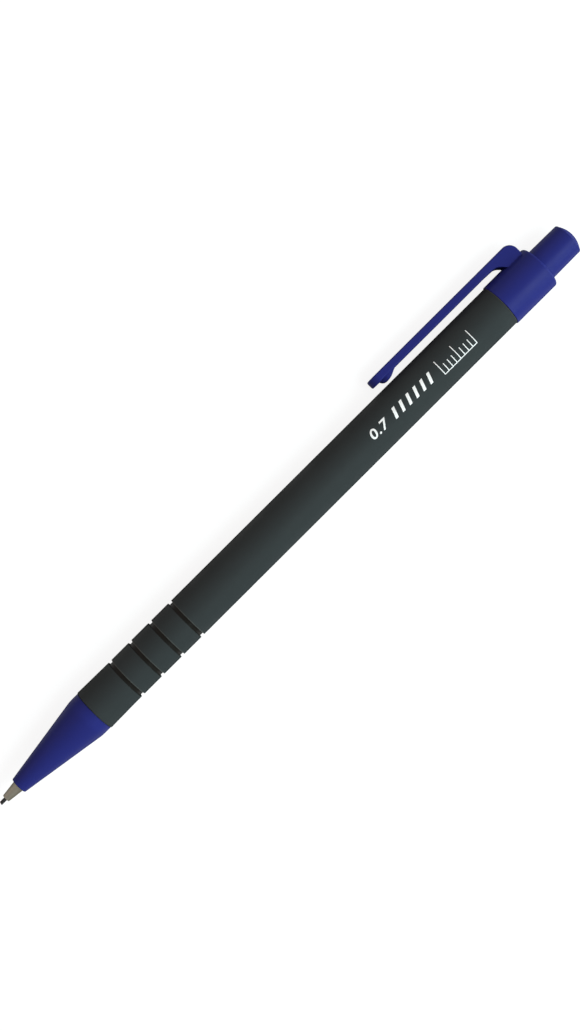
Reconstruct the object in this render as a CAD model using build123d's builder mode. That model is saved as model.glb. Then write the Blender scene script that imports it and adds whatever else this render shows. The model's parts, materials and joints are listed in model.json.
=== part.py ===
"""Mechanical pencil, 0.7 mm, lying on its side with the clip's edge on the surface.

Row frame: +X runs from the lead's point to the push button, +Z is up, Z = 0 is the surface
that the pencil lies on. All sizes are in millimetres. Distances called "station" are
measured along the pencil from the lead's point.
"""

from build123d import *
from math import asin, atan2, cos, degrees, hypot, pi, sin
import os

os.makedirs("parts", exist_ok=True)

# ---------------------------------------------------------------- clearances
fit_gap = 0.02  # pieces pressed or seated together
lead_clearance = 0.025  # lead in the tip, the rubber bush, the jaws and the tube
ring_seat_gap = 0.025  # clutch ring round the jaws' heads
running_clearance = 0.05  # turning and sliding fits, radial
sliding_room = 0.1  # connector in the front sleeve
end_gap = 0.3  # left over at the end of a travel

# ---------------------------------------------------------------- travels
stroke = 2.8  # of the push button
ring_travel = 0.9  # of the clutch ring before the nose stops it

# ---------------------------------------------------------------- leads
lead_diameter = 0.7
lead_length = 52.0
lead_stick_out = 1.45
lead_point_length = 0.3
lead_point_radius = 0.2
spare_lead_length = 60.0
spare_lead_count = 3
spare_lead_setback = 1.5  # from the connector to the spare leads

# ---------------------------------------------------------------- metal tip and rubber bush
tip_exposed = 3.2
tip_front_radius = 0.74
tip_root_radius = 1.14
tip_shank_length = 3.55
tip_flange_radius = 1.6
tip_flange_length = 1.0
retainer_length = 3.2
retainer_radius = 0.88

# ---------------------------------------------------------------- nose cone
nose_length = 19.07
nose_front_radius = 1.6
nose_radius = 4.23
nose_cone_length = 17.0
nose_blend_radius = 6.0
nose_edge_round = 0.15
spigot_length = 6.4
spigot_radius = 3.4
head_room = 0.45  # round the jaws' heads
ring_room = 0.1  # round the clutch ring

# ---------------------------------------------------------------- chuck and clutch ring
head_radius = 1.5
head_length = 4.0
head_overhang = 1.4  # jaws in front of the ring
head_taper = 0.125  # radius lost per millimetre, towards the stem
jaw_length = 11.0
jaw_slot = 0.25
jaw_hinge_gap = 0.03
stem_bore_radius = 0.55
grip_length = 2.6  # narrow bore that holds the lead
chuck_stem_length = 6.5
jaw_count = 3
ring_length = 2.6
ring_radius = 2.1

# ---------------------------------------------------------------- front sleeve and spring
sleeve_length = 14.0
sleeve_wall = 0.35
sleeve_lip_length = 1.0
sleeve_lip_radius = 1.3
sleeve_flange_length = 0.95
sleeve_flange_radius = 3.3
spring_length = 9.0
spring_radius = 1.75
spring_wire = 0.4
spring_turns = 8

# ---------------------------------------------------------------- connector, lead tube, eraser
connector_radius = 2.2
connector_spigot_length = 4.0
funnel_length = 4.0
funnel_radius = 1.5
tube_radius = 2.3
tube_wall = 0.5
eraser_length = 8.0
eraser_stand_out = 3.0
eraser_head_room = 0.6

# ---------------------------------------------------------------- barrel
barrel_length = 103.18
barrel_radius = 4.25
barrel_front_radius = 4.355
barrel_edge_round = 0.12
barrel_bore_radius = 2.75
groove_count = 4
groove_pitch = 5.02
groove_width = 0.8
groove_depth = 0.38
first_groove = 8.14  # from the barrel's front to the middle of the first groove

# ---------------------------------------------------------------- collar and button
collar_length = 10.1
collar_radius = 4.43
collar_edge_round = 0.45
collar_front_round = 0.12
tenon_length = 7.9
tenon_radius = 3.1
tenon_bore_room = 0.15
button_exposed = 7.2
button_skirt = 4.7
button_radius = 3.24
button_end_radius = 3.17
button_clearance = 0.085  # in the collar
button_fit = 0.025  # on the lead tube
button_dome_height = 1.0
button_dome_radius = 2.98  # where the low dome starts, inside the rim
button_rim_round = 0.15
button_roof = 2.3

# ---------------------------------------------------------------- clip
clip_reach = 7.13  # from the pencil's axis to the clip's outer face
clip_thickness = 1.55
clip_width = 4.3
clip_length = 29.75  # from the free end to the hinge line
clip_hinge_setback = 2.7  # from the collar's front to the hinge line
clip_edge_round = 0.3
clip_socket_gap = 0.04
ball_clearance = 0.5  # between the ball and the barrel
ball_setback = 3.1  # from the clip's free end to the ball's lowest point
ball_front = 1.4
ball_rear = 2.65
ball_width = 4.1
ball_side_round = 0.7
ball_nose_length = 2.2  # rounded in plan, towards the free end
stem_length = 6.45  # from the hinge line to the rear face
stem_corner_radius = 1.9
stem_front_start = 0.3  # from the hinge line to where the front face curves down
stem_front_run = 3.05  # from the hinge line to the front face's foot
stem_sink = 0.8  # into the collar's wall

# ---------------------------------------------------------------- stations, from the lead's point
tip_front = lead_stick_out
nose_front = tip_front + tip_exposed
tip_flange_front = nose_front + tip_shank_length
tip_rear = tip_flange_front + tip_flange_length
nose_rear = nose_front + nose_length
spigot_rear = nose_rear + spigot_length
barrel_shoulder = spigot_rear + sleeve_flange_length + 2 * fit_gap
sleeve_rear = barrel_shoulder - fit_gap
sleeve_front = sleeve_rear - sleeve_length
ring_rear = sleeve_front - fit_gap
ring_front = ring_rear - ring_length
ring_stop = ring_front - ring_travel - fit_gap
head_front = ring_front - head_overhang
nose_chamber_front = head_front - stroke - end_gap
jaw_hinge = head_front + jaw_length
chuck_rear = jaw_hinge + jaw_hinge_gap + chuck_stem_length
spring_front = sleeve_front + sleeve_lip_length
connector_front = spring_front + spring_length
tube_front = sleeve_rear + stroke + 2 * end_gap
connector_rear = tube_front + connector_spigot_length
collar_front = nose_rear + barrel_length
tenon_front = collar_front - tenon_length
collar_rear = collar_front + collar_length
button_front = collar_rear - button_skirt
collar_shoulder = button_front - stroke - end_gap
button_rim = collar_rear + button_exposed
total_length = button_rim + button_dome_height
button_bore_end = total_length - button_roof
eraser_rear = button_bore_end - eraser_head_room
eraser_front = eraser_rear - eraser_length
tube_rear = eraser_rear - eraser_stand_out
clip_hinge = collar_front + clip_hinge_setback
clip_front = clip_hinge - clip_length
stem_front = clip_hinge + stem_front_run
stem_rear = clip_hinge + stem_length
spare_front = connector_rear + spare_lead_setback

# ---------------------------------------------------------------- radii that follow from others
lead_radius = lead_diameter / 2
lead_bore_radius = lead_radius + lead_clearance
sleeve_bore_radius = connector_radius + sliding_room
sleeve_radius = sleeve_bore_radius + sleeve_wall
spigot_bore_radius = sleeve_radius + running_clearance
ring_bore_radius = head_radius - head_taper * head_overhang + ring_seat_gap
stem_radius = head_radius - head_taper * head_length
tube_bore_radius = tube_radius - tube_wall
clip_inner = clip_reach - clip_thickness
clip_middle = clip_reach - clip_thickness / 2
clip_ball_low = barrel_radius + ball_clearance

# ---------------------------------------------------------------- how the pencil lies
# It rests on the collar and on the clip's lower edge: the clip is rolled down by this angle.
axis_height = collar_radius
edge_reach = clip_reach - clip_edge_round
edge_side = clip_width / 2 - clip_edge_round
roll = asin((axis_height - clip_edge_round) / hypot(edge_reach, edge_side))
roll -= atan2(edge_side, edge_reach)
clip_far_side = clip_edge_round + hypot(edge_reach, edge_side) * cos(roll - atan2(edge_side, edge_reach))
axis_y = (collar_radius - clip_far_side) / 2
lead_point_x = -total_length / 2
middle_of_pencil = (0, axis_y, axis_height)
clip_way = (0, cos(roll), -sin(roll))
side_way = (0, sin(roll), cos(roll))

pencil_axis = Axis(middle_of_pencil, (1, 0, 0))
clip_axis = Axis(middle_of_pencil, clip_way)
side = Plane(origin=(lead_point_x, axis_y, axis_height), x_dir=(1, 0, 0), z_dir=side_way)
print(f"clip rolled {degrees(roll):.2f} degrees, axis at y = {axis_y:.3f} mm, z = {axis_height:.3f} mm")


def across(station):
    """Plane square to the pencil's axis: its X points to the clip, its normal to the button."""
    return Plane(origin=(lead_point_x + station, axis_y, axis_height), x_dir=clip_way, z_dir=(1, 0, 0))


def rims(part, station, radius):
    """Circular edges of a turned part at one station and one radius."""
    x = lead_point_x + station
    return part.edges().filter_by(
        lambda edge: edge.geom_type == GeomType.CIRCLE
        and abs(edge.arc_center.X - x) < 0.001
        and abs(edge.radius - radius) < 0.001
    )


def finish(builder, name):
    """Label a finished piece and write it."""
    builder.part.label = name
    export_step(builder.part, f"parts/{name}.step")


# ================================================================ lead
with BuildPart() as lead:
    with BuildSketch(side):
        with BuildLine():
            Polyline(
                (0, 0),
                (0, lead_point_radius),
                (lead_point_length, lead_radius),
                (lead_length, lead_radius),
                (lead_length, 0),
                close=True,
            )
        make_face()
    revolve(axis=pencil_axis)
finish(lead, "lead")

# ================================================================ metal tip
retainer_seat = tip_rear - retainer_length
with BuildPart() as metal_tip:
    with BuildSketch(side):
        with BuildLine():
            Polyline(
                (tip_front, lead_bore_radius),
                (tip_front, tip_front_radius),
                (nose_front, tip_root_radius),
                (tip_flange_front, tip_root_radius),
                (tip_flange_front, tip_flange_radius),
                (tip_rear, tip_flange_radius),
                (tip_rear, retainer_radius + fit_gap),
                (retainer_seat, retainer_radius + fit_gap),
                (retainer_seat, lead_bore_radius),
                close=True,
            )
        make_face()
    revolve(axis=pencil_axis)
finish(metal_tip, "metal_tip")

# ================================================================ rubber bush in the tip
with BuildPart() as lead_retainer:
    with BuildSketch(across(retainer_seat + fit_gap)):
        Circle(retainer_radius)
        Circle(lead_bore_radius, mode=Mode.SUBTRACT)
    extrude(amount=retainer_length - 2 * fit_gap)
finish(lead_retainer, "lead_retainer")

# ================================================================ nose cone
with BuildPart() as nose_cone:
    with BuildSketch(side):
        with BuildLine():
            Polyline(
                (nose_front, tip_root_radius + fit_gap),
                (nose_front, nose_front_radius),
                (nose_front + nose_cone_length, nose_radius),
                (nose_rear, nose_radius),
                (nose_rear, spigot_radius),
                (spigot_rear, spigot_radius),
                (spigot_rear, spigot_bore_radius),
                (sleeve_front - fit_gap, spigot_bore_radius),
                (sleeve_front - fit_gap, ring_radius + ring_room),
                (ring_stop, ring_radius + ring_room),
                (ring_stop, head_radius + head_room),
                (nose_chamber_front, head_radius + head_room),
                (nose_chamber_front, tip_flange_radius + fit_gap),
                (tip_flange_front - fit_gap, tip_flange_radius + fit_gap),
                (tip_flange_front - fit_gap, tip_root_radius + fit_gap),
                close=True,
            )
        make_face()
    revolve(axis=pencil_axis)
    fillet(rims(nose_cone, nose_front + nose_cone_length, nose_radius), nose_blend_radius)
    fillet(rims(nose_cone, nose_front, nose_front_radius), nose_edge_round)
    fillet(rims(nose_cone, nose_rear, nose_radius), nose_edge_round)
finish(nose_cone, "nose_cone")

# ================================================================ chuck: stem and three jaws
with BuildPart() as chuck_body:
    with BuildSketch(across(jaw_hinge + jaw_hinge_gap)):
        Circle(stem_radius)
        Circle(stem_bore_radius, mode=Mode.SUBTRACT)
    extrude(amount=chuck_stem_length)
finish(chuck_body, "chuck_body")

for jaw in range(jaw_count):
    jaw_direction = 2 * pi * jaw / jaw_count
    half_sector = pi / jaw_count
    wedge_apex = jaw_slot / 2 / sin(half_sector)
    wedge_reach = 4 * head_radius
    with BuildPart() as chuck_jaw:
        with BuildSketch(side):
            with BuildLine():
                Polyline(
                    (head_front, lead_bore_radius),
                    (head_front, head_radius),
                    (head_front + head_length, stem_radius),
                    (jaw_hinge, stem_radius),
                    (jaw_hinge, stem_bore_radius),
                    (head_front + grip_length, stem_bore_radius),
                    (head_front + grip_length, lead_bore_radius),
                    close=True,
                )
            make_face()
        revolve(axis=pencil_axis)
        with BuildSketch(across(head_front)):
            with BuildLine():
                Polyline(
                    (wedge_apex * cos(jaw_direction), wedge_apex * sin(jaw_direction)),
                    (
                        wedge_apex * cos(jaw_direction) + wedge_reach * cos(jaw_direction - half_sector),
                        wedge_apex * sin(jaw_direction) + wedge_reach * sin(jaw_direction - half_sector),
                    ),
                    (
                        wedge_apex * cos(jaw_direction) + wedge_reach * cos(jaw_direction + half_sector),
                        wedge_apex * sin(jaw_direction) + wedge_reach * sin(jaw_direction + half_sector),
                    ),
                    close=True,
                )
            make_face()
        extrude(amount=jaw_length, mode=Mode.INTERSECT)
    finish(chuck_jaw, f"chuck_jaw_{jaw + 1}")

# ================================================================ clutch ring
with BuildPart() as chuck_ring:
    with BuildSketch(across(ring_front)):
        Circle(ring_radius)
        Circle(ring_bore_radius, mode=Mode.SUBTRACT)
    extrude(amount=ring_length)
finish(chuck_ring, "chuck_ring")

# ================================================================ front sleeve
with BuildPart() as front_sleeve:
    with BuildSketch(side):
        with BuildLine():
            Polyline(
                (sleeve_front, sleeve_lip_radius),
                (sleeve_front, sleeve_radius),
                (sleeve_rear - sleeve_flange_length, sleeve_radius),
                (sleeve_rear - sleeve_flange_length, sleeve_flange_radius),
                (sleeve_rear, sleeve_flange_radius),
                (sleeve_rear, sleeve_bore_radius),
                (spring_front, sleeve_bore_radius),
                (spring_front, sleeve_lip_radius),
                close=True,
            )
        make_face()
    revolve(axis=pencil_axis)
finish(front_sleeve, "front_sleeve")

# ================================================================ return spring
wire_radius = spring_wire / 2
coil_start = spring_front + wire_radius + fit_gap
coil_length = spring_length - spring_wire - 2 * fit_gap
with BuildPart() as spring:
    with BuildLine() as coil:
        Helix(
            pitch=coil_length / spring_turns,
            height=coil_length,
            radius=spring_radius,
            center=(lead_point_x + coil_start, axis_y, axis_height),
            direction=(1, 0, 0),
        )
    with BuildSketch(Plane(origin=coil.line @ 0, z_dir=coil.line % 0)):
        Circle(wire_radius)
    sweep(is_frenet=True)
finish(spring, "spring")

# ================================================================ connector
with BuildPart() as connector:
    with BuildSketch(side):
        with BuildLine():
            Polyline(
                (connector_front, stem_radius + fit_gap),
                (connector_front, connector_radius),
                (tube_front, connector_radius),
                (tube_front, tube_bore_radius - fit_gap),
                (connector_rear, tube_bore_radius - fit_gap),
                (connector_rear, funnel_radius),
                (connector_rear - funnel_length, stem_bore_radius),
                (chuck_rear + fit_gap, stem_bore_radius),
                (chuck_rear + fit_gap, stem_radius + fit_gap),
                close=True,
            )
        make_face()
    revolve(axis=pencil_axis)
finish(connector, "connector")

# ================================================================ lead tube
with BuildPart() as lead_tube:
    with BuildSketch(across(tube_front + fit_gap)):
        Circle(tube_radius)
        Circle(tube_bore_radius, mode=Mode.SUBTRACT)
    extrude(amount=tube_rear - tube_front - fit_gap)
finish(lead_tube, "lead_tube")

# ================================================================ spare leads, on the tube's floor
spare_place = tube_bore_radius - lead_radius - lead_clearance
spare_step = 2 * asin((lead_radius + lead_clearance) / spare_place)
for spare in range(spare_lead_count):
    spare_angle = (spare - (spare_lead_count - 1) / 2) * spare_step
    spare_y = axis_y + spare_place * sin(spare_angle)
    spare_z = axis_height - spare_place * cos(spare_angle)
    with BuildPart() as spare_lead:
        with BuildSketch(Plane(origin=(lead_point_x + spare_front, spare_y, spare_z), z_dir=(1, 0, 0))):
            Circle(lead_radius)
        extrude(amount=spare_lead_length)
    finish(spare_lead, f"spare_lead_{spare + 1}")

# ================================================================ eraser
with BuildPart() as eraser:
    with BuildSketch(across(eraser_front)):
        Circle(tube_bore_radius - fit_gap)
    extrude(amount=eraser_length)
    chamfer(rims(eraser, eraser_rear, tube_bore_radius - fit_gap), end_gap)
finish(eraser, "eraser")

# ================================================================ button
with BuildPart() as button:
    with BuildSketch(side):
        with BuildLine():
            TangentArc((total_length, 0), (button_rim, button_dome_radius), tangent=(0, 1))
            Polyline(
                (button_rim, button_dome_radius),
                (button_rim, button_end_radius),
                (collar_rear, button_radius),
                (button_front, button_radius),
                (button_front, tube_radius + button_fit),
                (button_bore_end, tube_radius + button_fit),
                (button_bore_end, 0),
                (total_length, 0),
            )
        make_face()
    revolve(axis=pencil_axis)
    fillet(rims(button, button_rim, button_end_radius), button_rim_round)
finish(button, "button")

# ================================================================ barrel
with BuildPart() as barrel:
    with BuildSketch(side):
        first_groove_edge = nose_rear + first_groove - groove_width / 2
        with BuildLine():
            Polyline(
                (nose_rear, spigot_radius + running_clearance),
                (nose_rear, barrel_front_radius),
                (first_groove_edge, barrel_radius),
                (collar_front, barrel_radius),
                (collar_front, tenon_radius + fit_gap),
                (tenon_front - fit_gap, tenon_radius + fit_gap),
                (tenon_front - fit_gap, barrel_bore_radius),
                (barrel_shoulder, barrel_bore_radius),
                (barrel_shoulder, spigot_radius + running_clearance),
                close=True,
            )
        make_face()
        for groove in range(groove_count):
            groove_middle = nose_rear + first_groove + groove * groove_pitch
            with Locations((groove_middle, barrel_radius)):
                Rectangle(groove_width, 2 * groove_depth, mode=Mode.SUBTRACT)
    revolve(axis=pencil_axis)
    fillet(rims(barrel, nose_rear, barrel_front_radius), barrel_edge_round)
finish(barrel, "barrel")

# ================================================================ clip arm
clip_plan = Plane(
    origin=(
        lead_point_x + clip_front,
        axis_y + clip_reach * cos(roll),
        axis_height - clip_reach * sin(roll),
    ),
    x_dir=(1, 0, 0),
    z_dir=clip_way,
)
ball_middle = clip_front + ball_setback
with BuildPart() as clip_ball:
    with BuildSketch(side):
        with BuildLine():
            Spline(
                (ball_middle - ball_front, clip_inner),
                (ball_middle, clip_ball_low),
                tangents=((1, -1.3), (1, 0)),
            )
            Spline(
                (ball_middle, clip_ball_low),
                (ball_middle + ball_rear, clip_inner),
                tangents=((1, 0), (1, 0.1)),
            )
            Polyline(
                (ball_middle + ball_rear, clip_inner),
                (ball_middle + ball_rear, clip_middle),
                (ball_middle - ball_front, clip_middle),
                (ball_middle - ball_front, clip_inner),
            )
        make_face()
    extrude(amount=ball_width / 2, both=True)
    with BuildSketch(across(ball_middle - ball_front)):
        with Locations((clip_middle, 0)):
            RectangleRounded(2 * (clip_middle - clip_ball_low), ball_width, ball_side_round)
    extrude(amount=ball_front + ball_rear, mode=Mode.INTERSECT)
    with BuildSketch(clip_plan):
        with Locations((ball_middle - ball_front - clip_front + ball_nose_length, 0)):
            Ellipse(ball_nose_length, ball_width / 2)
            with Locations(((ball_front + ball_rear) / 2, 0)):
                Rectangle(ball_front + ball_rear, ball_width)
    extrude(amount=clip_ball_low - clip_reach, mode=Mode.INTERSECT)

with BuildPart() as clip_arm:
    with BuildSketch(side):
        with Locations(((clip_front + clip_hinge) / 2, clip_middle)):
            Rectangle(clip_length, clip_thickness)
        with Locations((clip_hinge, clip_middle)):
            Circle(clip_thickness / 2)
    extrude(amount=clip_width / 2, both=True)
    with BuildSketch(clip_plan):
        with Locations((clip_width / 2, 0)):
            Circle(clip_width / 2)
        with Locations((clip_length / 2 + clip_width / 2 + clip_thickness / 2, 0)):
            Rectangle(clip_length + clip_thickness, clip_width)
    extrude(amount=-clip_thickness, mode=Mode.INTERSECT)
    outer_face = clip_arm.faces().filter_by(clip_axis).sort_by(clip_axis)[-1]
    fillet(outer_face.edges().sort_by(Axis.X)[:-1], clip_edge_round)
    add(clip_ball.part)
finish(clip_arm, "clip_arm")

# ================================================================ collar with the clip's stem
with BuildPart() as stem:
    with BuildSketch(side) as stem_face:
        with BuildLine():
            Polyline(
                (clip_hinge, clip_reach),
                (stem_rear, clip_reach),
                (stem_rear, collar_radius - stem_sink),
                (stem_front, collar_radius - stem_sink),
            )
            Spline(
                (clip_hinge + stem_front_start, clip_inner),
                (stem_front, collar_radius - stem_sink),
                tangents=((1, 0), (1, -1.2)),
            )
            Polyline(
                (clip_hinge + stem_front_start, clip_inner),
                (clip_hinge, clip_inner),
                (clip_hinge, clip_reach),
            )
        make_face()
        fillet(stem_face.vertices().sort_by(lambda corner: corner.X + corner.Y)[-1], stem_corner_radius)
        with Locations((clip_hinge, clip_middle)):
            Circle(clip_thickness / 2 + clip_socket_gap, mode=Mode.SUBTRACT)
    extrude(amount=clip_width / 2, both=True)
    fillet(stem.edges().filter_by(Axis.X).sort_by(clip_axis)[-2:], clip_edge_round)

with BuildPart() as collar:
    with BuildSketch(side):
        with BuildLine():
            Polyline(
                (tenon_front, tube_radius + tenon_bore_room),
                (tenon_front, tenon_radius),
                (collar_front + fit_gap, tenon_radius),
                (collar_front + fit_gap, collar_radius),
                (collar_rear, collar_radius),
                (collar_rear, button_radius + button_clearance),
                (collar_shoulder, button_radius + button_clearance),
                (collar_shoulder, tube_radius + tenon_bore_room),
                close=True,
            )
        make_face()
    revolve(axis=pencil_axis)
    fillet(rims(collar, collar_rear, collar_radius), collar_edge_round)
    fillet(rims(collar, collar_front + fit_gap, collar_radius), collar_front_round)
    add(stem.part)
finish(collar, "collar")
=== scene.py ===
"""Looks of the mechanical pencil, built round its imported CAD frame.

The scene is in metres, with +Z up and +X towards the button. A station is a distance along the
pencil from the lead's point. Sizes in named values are in millimetres, unless their comment says
otherwise.
"""

import json
import math

import bpy
import bmesh
from mathutils import Matrix, Vector


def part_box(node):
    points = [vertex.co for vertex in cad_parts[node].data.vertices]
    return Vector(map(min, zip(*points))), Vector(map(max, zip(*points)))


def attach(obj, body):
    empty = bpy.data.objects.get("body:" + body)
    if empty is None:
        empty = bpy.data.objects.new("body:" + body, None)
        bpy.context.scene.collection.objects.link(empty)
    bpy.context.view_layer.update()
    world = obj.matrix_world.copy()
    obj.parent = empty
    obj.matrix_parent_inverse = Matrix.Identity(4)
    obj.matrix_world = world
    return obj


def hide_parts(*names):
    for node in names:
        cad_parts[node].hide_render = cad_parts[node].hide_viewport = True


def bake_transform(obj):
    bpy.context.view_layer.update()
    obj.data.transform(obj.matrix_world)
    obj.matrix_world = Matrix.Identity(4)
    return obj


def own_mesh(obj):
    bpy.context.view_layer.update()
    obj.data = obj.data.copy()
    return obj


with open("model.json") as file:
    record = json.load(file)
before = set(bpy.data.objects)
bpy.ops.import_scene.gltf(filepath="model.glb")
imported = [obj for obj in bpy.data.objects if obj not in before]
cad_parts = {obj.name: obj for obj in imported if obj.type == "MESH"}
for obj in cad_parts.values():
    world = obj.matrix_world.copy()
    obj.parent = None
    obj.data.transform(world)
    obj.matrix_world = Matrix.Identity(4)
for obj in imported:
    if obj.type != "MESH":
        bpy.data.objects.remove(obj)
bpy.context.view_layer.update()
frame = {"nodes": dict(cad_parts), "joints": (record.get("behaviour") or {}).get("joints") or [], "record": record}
MM = 0.001

# ---------------------------------------------------------------- places read from the frame
nose_low, nose_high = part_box("nose_cone")
AXIS_Y = (nose_low.y + nose_high.y) / 2  # m
AXIS_Z = (nose_low.z + nose_high.z) / 2  # m
POINT_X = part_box("lead")[0].x  # m
clip_hinge = next(joint for joint in frame["joints"] if joint["name"] == "clip_flex")
ALONG = Vector((1, 0, 0))
TO_VIEWER = -Vector(clip_hinge["axis"]).normalized()
TO_CLIP = TO_VIEWER.cross(ALONG)


def place(station, clip_way=0.0, viewer_way=0.0):
    """Point (m) at a station (mm) and two offsets from the pencil's axis (mm)."""
    start = Vector((POINT_X, AXIS_Y, AXIS_Z))
    return start + MM * (station * ALONG + clip_way * TO_CLIP + viewer_way * TO_VIEWER)


def station_of(x):
    """Station (mm) of a place along X (m)."""
    return (x - POINT_X) / MM


HINGE_SETBACK = 2.7  # from the collar's front to the clip's hinge line
BARREL_FRONT = station_of(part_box("barrel")[0].x)
CLIP_HINGE = station_of(clip_hinge["pos_m"][0])
COLLAR_FRONT = CLIP_HINGE - HINGE_SETBACK
BARREL_RADIUS = 4.25

# ---------------------------------------------------------------- camera
CAMERA_DISTANCE = 345.0
CAMERA_STATION = 64.0
AIM_STATION = 73.21
AIM_CLIP_WAY = -0.01
TURN = math.radians(44.89)
LONG_SIDE = 185.5  # seen along the picture's long side
SENSOR_WIDTH = 36.0

camera_data = bpy.data.cameras.new("camera")
camera = bpy.data.objects.new("camera", camera_data)
bpy.context.scene.collection.objects.link(camera)
bpy.context.scene.camera = camera
eye = place(CAMERA_STATION, 0.0, CAMERA_DISTANCE)
back = (eye - place(AIM_STATION, AIM_CLIP_WAY)).normalized()
along_seen = (ALONG - ALONG.dot(back) * back).normalized()
clip_seen = back.cross(along_seen)
right = math.cos(TURN) * along_seen - math.sin(TURN) * clip_seen
up = back.cross(right)
turned_to_aim = Matrix((right, up, back)).transposed().to_4x4()
camera.matrix_world = Matrix.Translation(eye) @ turned_to_aim
camera_data.sensor_width = SENSOR_WIDTH
camera_data.lens = SENSOR_WIDTH / 2 / (LONG_SIDE / 2 / CAMERA_DISTANCE)
camera_data.clip_start = 0.01  # m
camera_data.clip_end = 10.0  # m


# ---------------------------------------------------------------- material tools
def feed(tree, socket, value):
    """Link an output to a socket, or set the socket to a constant."""
    if isinstance(value, bpy.types.NodeSocket):
        tree.links.new(value, socket)
    else:
        socket.default_value = value


def add_node(tree, kind, inputs=(), **settings):
    """New node of a tree, with its settings made and its inputs fed."""
    node = tree.nodes.new(kind)
    for name, value in settings.items():
        setattr(node, name, value)
    for socket, value in dict(inputs).items():
        feed(tree, node.inputs[socket], value)
    return node


def in_picture(tree):
    """1 for camera, glossy and transmission rays, and 0 for rays that only carry light."""
    rays = add_node(tree, "ShaderNodeLightPath").outputs
    shown = rays["Is Camera Ray"]
    for kind in ("Is Glossy Ray", "Is Transmission Ray"):
        shown = add_node(
            tree, "ShaderNodeMath", {0: shown, 1: rays[kind]}, operation="MAXIMUM"
        ).outputs[0]
    return shown


class Finish:
    """One procedural material, put together node by node round its Principled shader."""

    GLOSS_FULL = 0.35  # of Facing, from 0 straight on to 1 edge-on
    GLOSS_GONE = 0.85
    NOISE_LOW, NOISE_HIGH = 0.3, 0.7  # noise seldom goes past these

    def __init__(self, name, colour, roughness, **sockets):
        self.material = bpy.data.materials.new(name)
        self.material.use_nodes = True
        self.tree = self.material.node_tree
        self.shader = self.tree.nodes["Principled BSDF"]
        self.shader.inputs["Base Color"].default_value = (*colour, 1.0)
        self.shader.inputs["Roughness"].default_value = roughness
        for socket, value in sockets.items():
            self.shader.inputs[socket.replace("_", " ")].default_value = value
        self.position = self.node("ShaderNodeTexCoord").outputs["Object"]

    def node(self, kind, inputs=(), **settings):
        return add_node(self.tree, kind, inputs, **settings)

    def math(self, operation, *values):
        return self.node("ShaderNodeMath", enumerate(values), operation=operation).outputs[0]

    def stretched(self, scale):
        """Place in the object with each axis scaled on its own."""
        return self.node("ShaderNodeMapping", {"Vector": self.position, "Scale": scale}).outputs[0]

    def noise(self, grain_mm, detail=2.0, rough=0.5, vector=None):
        """Noise with grains of about that size."""
        settings = {
            "Vector": vector or self.position,
            "Scale": 1 / (grain_mm * MM),
            "Detail": detail,
            "Roughness": rough,
        }
        return self.node("ShaderNodeTexNoise", settings).outputs["Fac"]

    def between(self, value, low, high, out_low=0.0, out_high=1.0):
        """Smooth step from out_low to out_high while the value goes from low to high."""
        settings = {
            "Value": value,
            "From Min": low,
            "From Max": high,
            "To Min": out_low,
            "To Max": out_high,
        }
        made = self.node("ShaderNodeMapRange", settings, interpolation_type="SMOOTHSTEP")
        return made.outputs["Result"]

    def mix(self, share, first, second):
        """Blend of two colours, each an output or three numbers."""
        colours = [
            colour if isinstance(colour, bpy.types.NodeSocket) else (*colour, 1.0)
            for colour in (first, second)
        ]
        inputs = {0: share, 6: colours[0], 7: colours[1]}
        return self.node("ShaderNodeMix", inputs, data_type="RGBA").outputs[2]

    def colour(self, value):
        self.tree.links.new(value, self.shader.inputs["Base Color"])

    def roughness(self, value):
        self.tree.links.new(value, self.shader.inputs["Roughness"])

    def uneven(self, pattern, low, high):
        """Roughness between two levels, following a pattern of noise."""
        level = self.between(pattern, self.NOISE_LOW, self.NOISE_HIGH, low, high)
        self.roughness(level)

    def gloss(self, straight_on):
        """Specular level straight on, which fades towards edge-on, as on matt mouldings."""
        facing = self.node("ShaderNodeLayerWeight", {"Blend": 0.5}).outputs["Facing"]
        level = self.between(facing, self.GLOSS_FULL, self.GLOSS_GONE, straight_on, 0.0)
        self.tree.links.new(level, self.shader.inputs["Specular IOR Level"])

    def relief(self, height, depth_mm, strength):
        """Bumps of that height pattern."""
        inputs = {"Height": height, "Strength": strength, "Distance": depth_mm * MM}
        bump = self.node("ShaderNodeBump", inputs)
        self.tree.links.new(bump.outputs["Normal"], self.shader.inputs["Normal"])

    def axis_distance(self):
        """Distance from the pencil's axis, in mm."""
        parts = self.node("ShaderNodeSeparateXYZ", {0: self.position})
        sideways = self.math("SUBTRACT", parts.outputs["Y"], AXIS_Y)
        upward = self.math("SUBTRACT", parts.outputs["Z"], AXIS_Z)
        squares = self.math(
            "ADD", self.math("POWER", sideways, 2.0), self.math("POWER", upward, 2.0)
        )
        return self.math("DIVIDE", self.math("SQRT", squares), MM)

    def station(self):
        """Station along the pencil, in mm."""
        parts = self.node("ShaderNodeSeparateXYZ", {0: self.position})
        return self.math("DIVIDE", self.math("SUBTRACT", parts.outputs["X"], POINT_X), MM)


# ---------------------------------------------------------------- floor and sky
FLOOR_SIDE = 3.0  # m
FLOOR_GREY = 0.13
FLOOR_GLOW = 0.885  # added only where the floor is seen, so that it comes out white
AMBIENT = 0.37  # strength of the sky where it only lights the pencil
AMBIENT_TINT = (1.0, 0.86, 0.80, 1.0)
WHITE = (1.0, 1.0, 1.0, 1.0)

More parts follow.
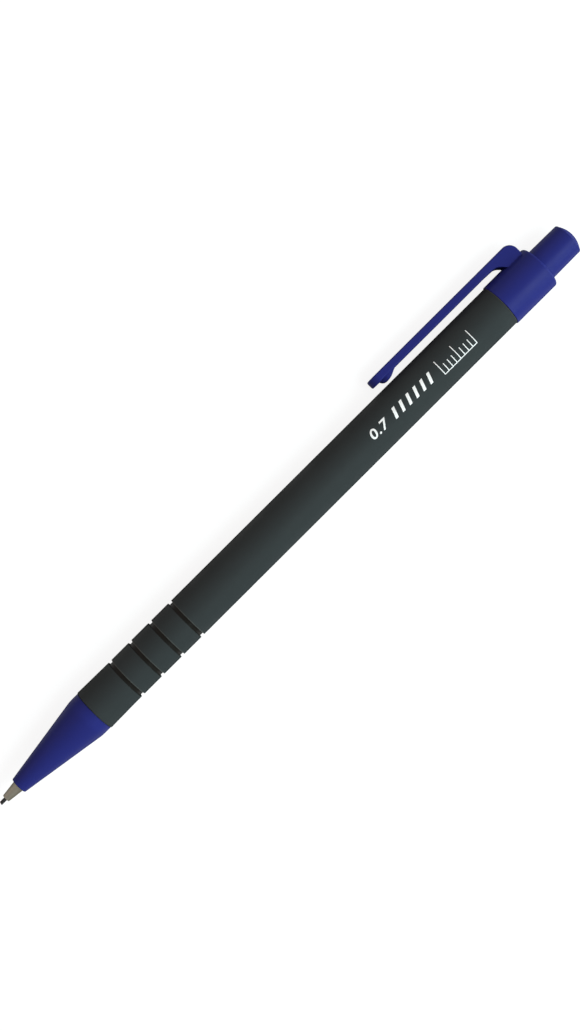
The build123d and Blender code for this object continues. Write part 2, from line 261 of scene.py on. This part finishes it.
floor_finish = Finish("floor", (FLOOR_GREY, FLOOR_GREY, FLOOR_GREY), 0.9)
glow_strength = floor_finish.math("MULTIPLY", in_picture(floor_finish.tree), FLOOR_GLOW)
glow = floor_finish.node("ShaderNodeEmission", {"Color": WHITE, "Strength": glow_strength})
joined = floor_finish.node(
    "ShaderNodeAddShader", {0: floor_finish.shader.outputs[0], 1: glow.outputs[0]}
)
floor_output = floor_finish.tree.nodes["Material Output"]
floor_finish.tree.links.new(joined.outputs[0], floor_output.inputs["Surface"])

bpy.ops.mesh.primitive_plane_add(size=FLOOR_SIDE, location=(0, 0, 0))
floor = bpy.context.object
floor.name = "floor"
floor.data.materials.append(floor_finish.material)

world = bpy.data.worlds.new("world")
bpy.context.scene.world = world
world.use_nodes = True
sky = world.node_tree
shown = in_picture(sky)
tint = add_node(sky, "ShaderNodeMix", {0: shown, 6: AMBIENT_TINT, 7: WHITE}, data_type="RGBA")
strength = add_node(
    sky, "ShaderNodeMapRange", {"Value": shown, "To Min": AMBIENT, "To Max": 1.0}
)
background = sky.nodes["Background"]
feed(sky, background.inputs["Color"], tint.outputs[2])
feed(sky, background.inputs["Strength"], strength.outputs["Result"])

# ---------------------------------------------------------------- lamps
# name, degrees from the viewer towards the side without the clip, distance from the frame's
# origin and shift along the pencil (m), size (m), power (W), colour
LAMPS = (
    ("key", 60, 0.8, 0.8, (1.4, 1.0), 16.0, (0.76, 0.99, 1.0)),
    ("sheen", 38, 0.75, 0.2, (0.4, 0.3), 2.6, (0.78, 0.93, 1.0)),
    ("fill", -55, 0.8, 0.0, (1.4, 1.0), 2.0, (1.0, 0.68, 0.62)),
)
for name, turn, away, shift, size, power, colour in LAMPS:
    angle = math.radians(turn)
    location = away * (math.cos(angle) * TO_VIEWER - math.sin(angle) * TO_CLIP) + shift * ALONG
    data = bpy.data.lights.new(name, "AREA")
    data.shape = "RECTANGLE"
    data.size, data.size_y = size
    data.energy = power
    data.color = colour
    lamp = bpy.data.objects.new(name, data)
    bpy.context.scene.collection.objects.link(lamp)
    lamp.location = location
    lamp.rotation_mode = "QUATERNION"
    lamp.rotation_quaternion = (Vector() - location).to_track_quat("-Z", "Y")

# ---------------------------------------------------------------- materials of the slots
FIRST_GROOVE = BARREL_FRONT + 8.14
GROOVE_PITCH = 5.02
GROOVE_COUNT = 4
GROOVE_WIDTH = 0.8
GROOVE_DARK = 4.08  # from the axis: below this the dark colour of the groove floors, partly a darker plastic and partly painted shade, shows fully,
GROOVE_CLEAR = 4.2  # and above this not at all
# Painted highlights: thin light lines along the rear edge of each groove and along the barrel's end at the collar,
# standing in for the light those edges catch.
REAR_EDGE_HIGHLIGHT_PLACE = 1.5 * GROOVE_WIDTH + 0.06  # behind the start of each groove's pitch
REAR_EDGE_HIGHLIGHT_HALF = 0.07
END_EDGE_HIGHLIGHT_SETBACK = 0.06  # from the collar's front
END_EDGE_HIGHLIGHT_HALF = 0.08
EDGE_HIGHLIGHT_SHARE = 0.6
GROOVE_POLISH = 0.28  # roughness taken off in the grooves

finishes = {}


def slot_finish(name, colour, roughness, **sockets):
    """New finish, kept under the name of the slot that it is for."""
    finish = Finish(name, colour, roughness, **sockets)
    finishes[name] = finish.material
    return finish


# matt charcoal barrel: fine spark-eroded grain, painted highlights as thin light lines on the groove and end
# edges, glossier groove floors that are darker partly as plastic and partly as painted shade
charcoal = slot_finish("charcoal_plastic", (0.030, 0.035, 0.036), 0.6)
charcoal.gloss(0.07)
body = charcoal.mix(
    charcoal.noise(3.0, 3.0), (0.0268, 0.0318, 0.0325), (0.0308, 0.0365, 0.0372)
)
sunk = charcoal.between(charcoal.axis_distance(), GROOVE_DARK, GROOVE_CLEAR, 1.0, 0.0)
along = charcoal.station()
past_first = charcoal.math("SUBTRACT", along, FIRST_GROOVE - GROOVE_WIDTH)
in_grip = charcoal.math(
    "MULTIPLY",
    charcoal.math("GREATER_THAN", past_first, 0.0),
    charcoal.math("LESS_THAN", past_first, (GROOVE_COUNT - 0.5) * GROOVE_PITCH),
)
past_groove = charcoal.math("WRAP", past_first, GROOVE_PITCH, 0.0)
# masks of the painted edge highlights
rear_edge_highlight = charcoal.math(
    "MULTIPLY", charcoal.math("COMPARE", past_groove, REAR_EDGE_HIGHLIGHT_PLACE, REAR_EDGE_HIGHLIGHT_HALF), in_grip
)
end_edge_highlight = charcoal.math("COMPARE", along, COLLAR_FRONT - END_EDGE_HIGHLIGHT_SETBACK, END_EDGE_HIGHLIGHT_HALF)
# rim: where the painted edge highlights go, kept off the groove floors
rim = charcoal.math(
    "MULTIPLY",
    charcoal.math("MAXIMUM", rear_edge_highlight, end_edge_highlight),
    charcoal.math("SUBTRACT", 1.0, sunk),
)
# the light colour (0.085, 0.09, 0.08) is the painted edge highlight
body = charcoal.mix(charcoal.math("MULTIPLY", rim, EDGE_HIGHLIGHT_SHARE), body, (0.085, 0.09, 0.08))
# Groove floors darkened: partly a darker glossy plastic, partly painted shade in the recesses.
groove_plastic_and_shade = charcoal.math("MULTIPLY", sunk, in_grip)
charcoal.colour(charcoal.mix(groove_plastic_and_shade, body, (0.011, 0.010, 0.008)))
smudge = charcoal.between(charcoal.noise(6.0, 2.0), 0.35, 0.7, 0.54, 0.66)
polish = charcoal.math("MULTIPLY", sunk, GROOVE_POLISH)
charcoal.roughness(charcoal.math("SUBTRACT", smudge, polish))
charcoal.relief(charcoal.noise(0.11, 3.0, 0.6), 0.02, 0.35)

# satin blue moulding
blue = slot_finish("blue_plastic", (0.0185, 0.0232, 0.162), 0.33)
blue.gloss(0.06)
blue.colour(blue.mix(blue.noise(5.0, 2.0), (0.0175, 0.0219, 0.155), (0.0195, 0.0245, 0.173)))
blue.uneven(blue.noise(2.5, 3.0), 0.29, 0.38)
blue.relief(blue.noise(0.25, 2.0), 0.006, 0.25)

# turned satin nickel
nickel = slot_finish(
    "bare_metal",
    (0.19, 0.173, 0.138),
    0.5,
    Metallic=1.0,
    Specular_Tint=(0.2, 0.19, 0.18, 1.0),
)
turned = nickel.noise(1.0, 3.0, 0.6, nickel.stretched((25.0, 0.6, 0.6)))
nickel.colour(nickel.mix(nickel.noise(0.8, 2.0), (0.165, 0.15, 0.119), (0.215, 0.196, 0.157)))
nickel.uneven(turned, 0.42, 0.56)
nickel.relief(turned, 0.006, 0.5)

# graphite: fine dull grain with a faint shine
graphite = slot_finish("graphite", (0.012, 0.012, 0.0125), 0.42)
graphite.gloss(0.2)
graphite.colour(
    graphite.mix(graphite.noise(0.12, 3.0), (0.007, 0.007, 0.0075), (0.02, 0.02, 0.021))
)
graphite.uneven(graphite.noise(0.2, 2.0), 0.34, 0.55)
graphite.relief(graphite.noise(0.05, 2.0), 0.004, 0.5)

# moulded black rubber
rubber = slot_finish("black_rubber", (0.02, 0.02, 0.02), 0.75)
rubber.colour(
    rubber.mix(rubber.noise(0.6, 2.0), (0.015, 0.015, 0.015), (0.028, 0.028, 0.028))
)
rubber.relief(rubber.noise(0.1, 2.0), 0.01, 0.4)

# turned brass with tool marks and a little tarnish
brass = slot_finish("brass", (0.72, 0.55, 0.26), 0.28, Metallic=1.0)
turned = brass.noise(1.0, 3.0, 0.6, brass.stretched((20.0, 0.5, 0.5)))
tarnish = brass.between(brass.noise(1.5, 3.0), 0.45, 0.75)
brass.colour(brass.mix(tarnish, (0.74, 0.56, 0.27), (0.5, 0.36, 0.17)))
brass.uneven(turned, 0.22, 0.4)
brass.relief(turned, 0.008, 0.5)

# drawn spring wire
wire = slot_finish("spring_steel", (0.6, 0.6, 0.6), 0.3, Metallic=1.0)
wire.colour(wire.mix(wire.noise(0.5, 2.0), (0.5, 0.5, 0.5), (0.68, 0.68, 0.67)))
wire.uneven(wire.noise(0.3, 2.0), 0.24, 0.4)
wire.relief(wire.noise(0.15, 2.0), 0.004, 0.4)

# natural white polypropylene, slightly cloudy
white = slot_finish(
    "white_plastic",
    (0.75, 0.75, 0.73),
    0.42,
    Subsurface_Weight=0.15,
    Subsurface_Scale=0.0006,
)
white.colour(white.mix(white.noise(4.0, 3.0), (0.70, 0.70, 0.68), (0.79, 0.79, 0.775)))
white.uneven(white.noise(1.5, 2.0), 0.36, 0.5)
white.relief(white.noise(0.4, 2.0), 0.006, 0.3)

# white vinyl eraser with graphite smudges
vinyl = slot_finish("eraser_rubber", (0.8, 0.8, 0.78), 0.8)
smudge = vinyl.between(vinyl.noise(1.2, 4.0, 0.65), 0.56, 0.78)
vinyl.colour(vinyl.mix(smudge, (0.82, 0.82, 0.8), (0.5, 0.5, 0.51)))
vinyl.relief(vinyl.noise(0.15, 3.0), 0.02, 0.4)

# white pad print, on the pieces laid round the barrel
ink = Finish("print_ink", (0.88, 0.88, 0.87), 0.5)
ink.colour(ink.mix(ink.noise(0.4, 3.0), (0.85, 0.85, 0.84), (0.91, 0.91, 0.90)))
ink.uneven(ink.noise(0.3, 2.0), 0.42, 0.6)
ink.relief(ink.noise(0.08, 2.0), 0.002, 0.3)

# ---------------------------------------------------------------- mesh tools
SHARP_ANGLE = math.radians(35)
WELD = 1e-7  # m
ON_PLANE = 1e-9  # m
CLIP_MIDDLE = 6.355  # from the axis to the middle of the clip arm


def soften(mesh):
    """Shade the mesh smooth up to the sharp angle, with the large flat faces kept flat."""
    mesh.shade_smooth()
    limit = math.cos(SHARP_ANGLE)
    faces = [(face.normal.copy(), face.area) for face in mesh.polygons]
    faces_round = [[] for _ in mesh.vertices]
    for face in mesh.polygons:
        for vertex in face.vertices:
            faces_round[vertex].append(face.index)
    normals = [None] * len(mesh.loops)
    for face in mesh.polygons:
        own = faces[face.index][0]
        for loop in face.loop_indices:
            total = Vector()
            for other in faces_round[mesh.loops[loop].vertex_index]:
                normal, area = faces[other]
                if normal.dot(own) > limit:
                    total += normal * area
            normals[loop] = total.normalized() if total.length > 0 else own
    mesh.normals_split_custom_set(normals)


def piece(name, shape, slot, material=None):
    """Turn a finished bmesh into a named object, in the slot's own material or the one given."""
    mesh = bpy.data.meshes.new(name)
    shape.to_mesh(mesh)
    shape.free()
    soften(mesh)
    mesh.materials.append(material or finishes[slot])
    obj = bpy.data.objects.new(name, mesh)
    bpy.context.scene.collection.objects.link(obj)
    return obj


def everything(shape):
    """All of a bmesh, as its operators want it."""
    return [*shape.verts, *shape.edges, *shape.faces]


def solid_of(node):
    """Welded copy of a CAD node's mesh."""
    shape = bmesh.new()
    shape.from_mesh(frame["nodes"][node].data)
    shape.transform(frame["nodes"][node].matrix_world)
    bmesh.ops.remove_doubles(shape, verts=shape.verts, dist=WELD)
    return shape


def cut_away(shape, x, unwanted):
    """Cut across at x and drop the unwanted faces; returns the vertices of the open rim."""
    bmesh.ops.bisect_plane(
        shape, geom=everything(shape), dist=ON_PLANE, plane_co=(x, 0, 0), plane_no=(1, 0, 0)
    )
    dropped = [face for face in shape.faces if unwanted(face.calc_center_median())]
    bmesh.ops.delete(shape, geom=dropped, context="FACES")
    return [
        vertex for vertex in shape.verts if any(edge.is_boundary for edge in vertex.link_edges)
    ]


def clip_height(point):
    """Distance (m) of a point from the axis towards the clip."""
    return (point - place(0)).dot(TO_CLIP)


def in_turn(rim):
    """Vertices of a rim in order of their angle round the clip arm's middle, and those angles."""
    middle = place(0, CLIP_MIDDLE)
    angles = {}
    for vertex in rim:
        across = vertex.co - middle
        angles[vertex] = math.atan2(across.dot(TO_CLIP), across.dot(TO_VIEWER))
    return sorted(rim, key=angles.get), sorted(angles.values())


def lace(shape, first, second):
    """Close the wall between two rims with triangles."""
    one, one_angles = in_turn(first)
    two, two_angles = in_turn(second)
    one, two = one + one[:1], two + two[:1]
    one_angles = one_angles + [one_angles[0] + 2 * math.pi]
    two_angles = two_angles + [two_angles[0] + 2 * math.pi]
    i = j = 0
    while i < len(one) - 1 or j < len(two) - 1:
        one_left = i < len(one) - 1
        if j == len(two) - 1 or (one_left and one_angles[i + 1] <= two_angles[j + 1]):
            shape.faces.new((one[i], one[i + 1], two[j]))
            i += 1
        else:
            shape.faces.new((one[i], two[j + 1], two[j]))
            j += 1


def closed(shape):
    """Face the whole shape outwards and cut its large faces into triangles."""
    bmesh.ops.recalc_face_normals(shape, faces=shape.faces)
    large = [face for face in shape.faces if len(face.verts) > 3]
    bmesh.ops.triangulate(shape, faces=large)
    return shape


# ---------------------------------------------------------------- clip, moulded with the collar
STEM_CUT = CLIP_HINGE + 1.0  # the stem in front of this station is made with the arm,
ARM_CUT = CLIP_HINGE - 1.3  # which is joined to it by a wall laced between the two stations
SOCKET_FLOOR = 5.0  # from the axis: only what lies above it belongs to the clip
stem_x, arm_x = place(STEM_CUT).x, place(ARM_CUT).x

collar = solid_of("collar")
stem_rim = cut_away(
    collar,
    stem_x,
    lambda middle: middle.x < stem_x and clip_height(middle) > SOCKET_FLOOR * MM,
)
stem_rim, _ = in_turn(stem_rim)
stem_places = [vertex.co.copy() for vertex in stem_rim]
collar.faces.new(stem_rim)
collar_moulding = piece("collar_moulding", closed(collar), "blue_plastic")
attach(collar_moulding, "barrel")
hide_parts("collar")

arm = solid_of("clip_arm")
arm_rim = cut_away(arm, arm_x, lambda middle: middle.x > arm_x)
root_rim = [arm.verts.new(spot) for spot in stem_places]
lace(arm, arm_rim, root_rim)
arm.faces.new(root_rim)
clip_moulding = piece("clip_moulding", closed(arm), "blue_plastic")
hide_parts("clip_arm")
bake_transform(clip_moulding)

# ---------------------------------------------------------------- lead with a worn slanted end
LEAD_RADIUS = 0.35
LEAD_SIDES = 48
WEAR_STATION = 0.16  # where the worn face crosses the axis
WEAR_TILT = math.radians(12)
WEAR_EDGE_ROUND = 0.07
lead_low, lead_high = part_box("lead")
lead_middle = Vector(((lead_low.x + lead_high.x) / 2, AXIS_Y, AXIS_Z))
lead = bmesh.new()
bmesh.ops.create_cone(
    lead,
    cap_ends=True,
    segments=LEAD_SIDES,
    radius1=LEAD_RADIUS * MM,
    radius2=LEAD_RADIUS * MM,
    depth=lead_high.x - lead_low.x,
    matrix=Matrix.Translation(lead_middle) @ Matrix.Rotation(math.pi / 2, 4, "Y"),
)
cut = bmesh.ops.bisect_plane(
    lead,
    geom=everything(lead),
    dist=ON_PLANE,
    plane_co=place(WEAR_STATION),
    plane_no=math.cos(WEAR_TILT) * ALONG - math.sin(WEAR_TILT) * TO_CLIP,
    clear_inner=True,
)
worn_edges = [part for part in cut["geom_cut"] if isinstance(part, bmesh.types.BMEdge)]
bmesh.ops.holes_fill(lead, edges=worn_edges)
bmesh.ops.recalc_face_normals(lead, faces=lead.faces)
bmesh.ops.bevel(
    lead,
    geom=worn_edges,
    offset=WEAR_EDGE_ROUND * MM,
    segments=3,
    profile=0.5,
    affect="EDGES",
)
worn_lead = piece("worn_lead", lead, "graphite")
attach(worn_lead, "lead")
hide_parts("lead")

# ---------------------------------------------------------------- return spring with closed ends
COIL_RADIUS = 1.75
WIRE_RADIUS = 0.2
WORKING_TURNS = 8
CLOSED_TURNS = 1.25  # at each end
CLOSED_PITCH = 2.05 * WIRE_RADIUS
STEPS_PER_TURN = 40
WIRE_SIDES = 12
LOOK_ASIDE = 0.01  # turns, to either side of a step, that give the wire's direction
spring_low, spring_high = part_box("spring")
coil_from = spring_low.x + WIRE_RADIUS * MM
coil_to = spring_high.x - WIRE_RADIUS * MM
closed_pitch = CLOSED_PITCH * MM
turns = WORKING_TURNS + 2 * CLOSED_TURNS
open_pitch = (coil_to - coil_from - 2 * CLOSED_TURNS * closed_pitch) / WORKING_TURNS


def coil_x(turn):
    """Place along X (m) of the wire after so many turns."""
    shut = min(turn, CLOSED_TURNS) + max(0.0, turn - CLOSED_TURNS - WORKING_TURNS)
    opened = min(max(turn - CLOSED_TURNS, 0.0), WORKING_TURNS)
    return coil_from + shut * closed_pitch + opened * open_pitch


def coil_point(turn):
    """Middle of the wire after so many turns."""
    angle = 2 * math.pi * turn
    sideways = COIL_RADIUS * MM * (math.cos(angle) * TO_CLIP + math.sin(angle) * TO_VIEWER)
    return Vector((coil_x(turn), AXIS_Y, AXIS_Z)) + sideways


coil = bmesh.new()
rings = []
for step in range(round(turns * STEPS_PER_TURN) + 1):
    turn = step / STEPS_PER_TURN
    middle = coil_point(turn)
    ahead = (coil_point(turn + LOOK_ASIDE) - coil_point(turn - LOOK_ASIDE)).normalized()
    outward = (middle - Vector((middle.x, AXIS_Y, AXIS_Z))).normalized()
    sideways = ahead.cross(outward).normalized()
    outward = sideways.cross(ahead)
    ring = []
    for side in range(WIRE_SIDES):
        angle = 2 * math.pi * side / WIRE_SIDES
        edge_way = math.cos(angle) * outward + math.sin(angle) * sideways
        ring.append(coil.verts.new(middle + WIRE_RADIUS * MM * edge_way))
    rings.append(ring)
for here, there in zip(rings, rings[1:]):
    for side in range(WIRE_SIDES):
        after = (side + 1) % WIRE_SIDES
        coil.faces.new((here[side], here[after], there[after], there[side]))
coil.faces.new(rings[0])
coil.faces.new(rings[-1])
bmesh.ops.recalc_face_normals(coil, faces=coil.faces)
return_spring = piece("return_spring", coil, "spring_steel")
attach(return_spring, "barrel")
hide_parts("spring")
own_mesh(return_spring)

# ---------------------------------------------------------------- white print on the barrel
# A print starts flat: X along the pencil, Y towards the clip, in mm, between z 0 and 1.
INK_ABOVE = 0.012  # of the barrel's surface
INK_BELOW = 0.02
ARC_STEP = 0.25  # widest strip that is laid round the barrel in one flat face
FLAT_WELD = 1e-5
FLAT_ON_PLANE = 1e-6


def wrap_on_barrel(name, flat, station, clip_way):
    """Lay a flat print round the barrel, from that station on."""
    lowest = min(vertex.co.y for vertex in flat.verts)
    highest = max(vertex.co.y for vertex in flat.verts)
    for number in range(1, int((highest - lowest) / ARC_STEP) + 1):
        bmesh.ops.bisect_plane(
            flat,
            geom=everything(flat),
            dist=FLAT_ON_PLANE,
            plane_co=(0, lowest + number * ARC_STEP, 0),
            plane_no=(0, 1, 0),
        )
    for vertex in flat.verts:
        angle = (vertex.co.y + clip_way) / BARREL_RADIUS
        radius = BARREL_RADIUS + (INK_ABOVE if vertex.co.z > 0.5 else -INK_BELOW)
        around = (radius * math.sin(angle), radius * math.cos(angle))
        vertex.co = place(station + vertex.co.x, *around)
    bmesh.ops.recalc_face_normals(flat, faces=flat.faces)
    printed = piece(name, flat, "white_plastic", ink.material)
    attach(printed, "barrel")


def strokes(outlines):
    """Flat print made of strokes, each given by its corners."""
    flat = bmesh.new()
    for outline in outlines:
        low = [flat.verts.new((x, y, 0.0)) for x, y in outline]
        high = [flat.verts.new((x, y, 1.0)) for x, y in outline]
        flat.faces.new(low)
        flat.faces.new(high)
        for number in range(len(outline)):
            after = (number + 1) % len(outline)
            flat.faces.new((low[number], low[after], high[after], high[number]))
    return flat


def lettering(words, height, slant, widen, spacing, bolder):
    """Flat print of plain lettering, that many mm high, starting at x 0 and centred on y 0."""
    curve = bpy.data.curves.new(words, "FONT")
    curve.body = words
    curve.shear = slant
    curve.space_character = spacing
    curve.extrude = 0.5  # to both sides, so the print is 1 high
    curve.offset = bolder
    curve.resolution_u = 6
    shaped = bpy.data.objects.new(words, curve)
    bpy.context.scene.collection.objects.link(shaped)
    bpy.context.view_layer.update()
    flat = bmesh.new()
    flat.from_mesh(shaped.to_mesh())
    shaped.to_mesh_clear()
    bpy.data.objects.remove(shaped)
    bmesh.ops.remove_doubles(flat, verts=flat.verts, dist=FLAT_WELD)
    left = min(vertex.co.x for vertex in flat.verts)
    low = min(vertex.co.y for vertex in flat.verts)
    high = max(vertex.co.y for vertex in flat.verts)
    grow = height / (high - low)
    for vertex in flat.verts:
        x, y, z = vertex.co
        along = (x - left) * grow * widen
        vertex.co = (along, (y - (low + high) / 2) * grow, 1.0 if z > 0 else 0.0)
    return flat


PRINT_CLIP_WAY = -0.24  # from the line that faces the viewer to the middle of the print
SIZE_CLIP_WAY = PRINT_CLIP_WAY - 0.04
SIZE_STATION = 93.2
SIZE_HEIGHT = 1.88
marking = lettering("0.7", SIZE_HEIGHT, slant=0.18, widen=1.18, spacing=1.1, bolder=0.016)
wrap_on_barrel("size_marking", marking, SIZE_STATION, SIZE_CLIP_WAY)

BARS_STATION = 99.0
BAR_COUNT = 6
BAR_PITCH = 1.75
BAR_WIDTH = 0.62
BAR_HALF = 1.0  # half of its height
BAR_LEAN = 0.35 * BAR_HALF  # of its top, away from its middle
bars = []
for number in range(BAR_COUNT):
    left = number * BAR_PITCH
    bars.append(
        [
            (left - BAR_LEAN, -BAR_HALF),
            (left + BAR_WIDTH - BAR_LEAN, -BAR_HALF),
            (left + BAR_WIDTH + BAR_LEAN, BAR_HALF),
            (left + BAR_LEAN, BAR_HALF),
        ]
    )
wrap_on_barrel("slanted_bars", strokes(bars), BARS_STATION, PRINT_CLIP_WAY)

SCALE_STATION = 110.5
SCALE_LENGTH = 8.16
SCALE_LOW, SCALE_HIGH = -1.6, 1.6
SHORT_TICK_TOP = 0.2
TICK_COUNT = 9
TICK_PITCH = 1.0
LONG_TICK_EVERY = 4
TICK_WIDTH = 0.16
tick_foot = SCALE_LOW + TICK_WIDTH
ticks = [[(0, SCALE_LOW), (SCALE_LENGTH, SCALE_LOW), (SCALE_LENGTH, tick_foot), (0, tick_foot)]]
for number in range(TICK_COUNT):
    left = number * TICK_PITCH
    right = left + TICK_WIDTH
    top = SCALE_HIGH if number % LONG_TICK_EVERY == 0 else SHORT_TICK_TOP
    ticks.append([(left, tick_foot), (right, tick_foot), (right, top), (left, top)])
wrap_on_barrel("tick_scale", strokes(ticks), SCALE_STATION, PRINT_CLIP_WAY)

# ---------------------------------------------------------------- finishes of the CAD pieces
for entry in frame["record"]["subparts"]:
    node = frame["nodes"][entry["node"]]
    node.data.materials.clear()
    node.data.materials.append(finishes[entry["material_slot"]])

bpy.context.scene.view_settings.view_transform = "Standard"
